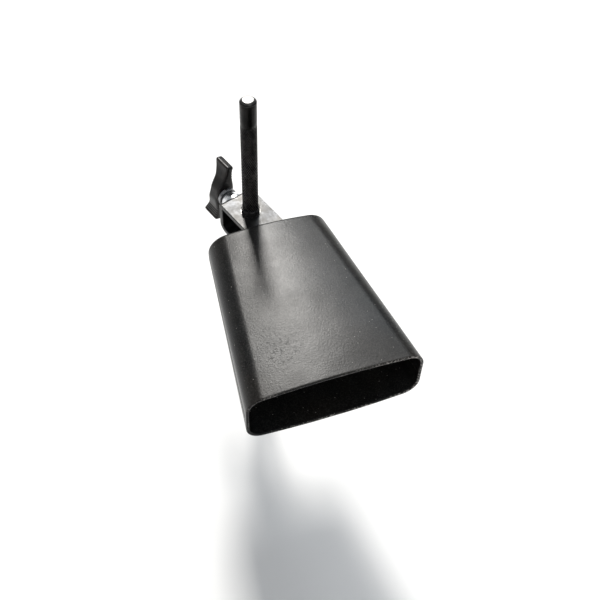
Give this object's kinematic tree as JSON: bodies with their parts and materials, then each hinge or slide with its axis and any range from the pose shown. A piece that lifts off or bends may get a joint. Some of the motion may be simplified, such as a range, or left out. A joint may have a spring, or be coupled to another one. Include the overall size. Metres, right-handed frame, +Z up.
{
  "type": "cowbell",
  "caption": "Tapered sheet-steel cowbell on a knurled mounting rod, held by a bent-strip bracket with a thumb-screw vise clamp that slides and swivels on the rod.",
  "frame": {"origin": "on the rod's axis, in the middle of the lower stretch that a stand's clamp grips, 30 mm above the rod's lower end", "axes": "+Z up along the rod; the bell's mouth faces -Y; +X across the bell, to the right as seen from in front of the mouth"},
  "size_m": [0.1, 0.1737, 0.23],
  "materials": {
    "bell_paint": "satin black",
    "bracket_paint": "semi-gloss black",
    "rod_black": "black-oxide, semi-gloss",
    "bushing_plastic": "matte black",
    "knob_plastic": "fine-textured black",
    "zinc_plate": "bright zinc plate",
    "screw_steel": "zinc plate, machined",
    "spring_steel": "oiled spring steel",
    "insert_brass": "machined"
  },
  "bodies": {
    "rod": {"mounting_rod": "rod_black"},
    "sleeves": {"rod_bushing_upper": "bushing_plastic", "rod_bushing_lower": "bushing_plastic"},
    "bell": {"bell_upper_shell": "bell_paint", "bell_lower_shell": "bell_paint", "bell_crown_plate": "bell_paint", "crown_weld": "bell_paint", "seam_weld_left": "bell_paint", "seam_weld_right": "bell_paint", "mounting_bracket": "bracket_paint", "bracket_weld_upper": "bracket_paint", "bracket_weld_lower": "bracket_paint", "clamp_boss": "zinc_plate"},
    "jaw": {"vise_jaw": "zinc_plate"},
    "screw": {"clamp_screw": "screw_steel", "jaw_retaining_clip": "spring_steel", "flat_washer": "zinc_plate", "spring_washer": "spring_steel", "knob_insert": "insert_brass", "knob_body": "knob_plastic"}
  },
  "joints": [
    {"name": "height_slide", "type": "slide", "parent": "rod", "child": "sleeves", "axis": [0, 0, 1], "range_m": [-0.05, 0.065]},
    {"name": "bell_swivel", "type": "hinge", "parent": "sleeves", "child": "bell", "pos_m": [0, 0, 0.1143], "axis": [0, 0, 1], "continuous": true},
    {"name": "jaw_slide", "type": "slide", "parent": "bell", "child": "jaw", "axis": [-0.309, 0.9511, 0], "range_m": [0, 0.00281]},
    {"name": "knob_turn", "type": "hinge", "parent": "jaw", "child": "screw", "pos_m": [-0.00927, 0.02853, 0.1055], "axis": [-0.309, 0.9511, 0], "range_deg": [0, 810]}
  ],
  "couplings": [
    {"joint": "knob_turn", "follows": "jaw_slide", "rad_per_m": 5026.5}
  ]
}
